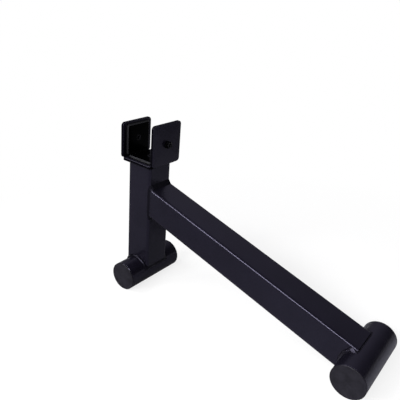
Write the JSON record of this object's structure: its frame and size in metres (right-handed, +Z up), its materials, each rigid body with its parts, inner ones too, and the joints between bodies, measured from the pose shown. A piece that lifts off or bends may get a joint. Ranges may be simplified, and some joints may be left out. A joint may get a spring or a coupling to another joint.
{
  "type": "deadlift jack",
  "caption": "Welded lever jack with a plastic-lined cradle that lifts the loaded end of a barbell as its long arm is pushed down onto its foot.",
  "frame": {"origin": "on the floor, midway between the two foot axes and at mid-length of the feet", "axes": "+X from the upright along the lever arm, +Y along both feet and a bar held in the cradle, +Z up"},
  "size_m": [0.4651, 0.12, 0.2986],
  "materials": {
    "black_coat": "semi-gloss black powder coat on steel tube and plate",
    "weld_coat": "semi-gloss black powder coat over weld beads",
    "cap_plastic": "satin black moulded plastic",
    "liner_plastic": "glossy black moulded plastic",
    "fastener_steel": "black-finished steel, slightly bright where worn"
  },
  "bodies": {
    "root": {"upright_tube": "black_coat", "lever_arm_tube": "black_coat", "near_foot_tube": "black_coat", "far_foot_tube": "black_coat", "cradle_base_plate": "black_coat", "arm_side_ear": "black_coat", "outer_ear": "black_coat", "upright_foot_weld": "weld_coat", "arm_foot_weld": "weld_coat", "arm_upright_weld": "weld_coat", "upright_cradle_weld": "weld_coat", "arm_side_ear_weld": "weld_coat", "outer_ear_weld": "weld_coat", "near_foot_front_cap": "cap_plastic", "near_foot_rear_cap": "cap_plastic", "far_foot_front_cap": "cap_plastic", "far_foot_rear_cap": "cap_plastic", "base_liner": "liner_plastic", "arm_side_liner": "liner_plastic", "outer_liner": "liner_plastic", "base_liner_screw": "fastener_steel", "arm_side_liner_screw": "fastener_steel", "outer_liner_screw": "fastener_steel", "arm_side_washer": "fastener_steel", "outer_washer": "fastener_steel", "arm_side_nut": "fastener_steel", "outer_nut": "fastener_steel"}
  },
  "joints": []
}
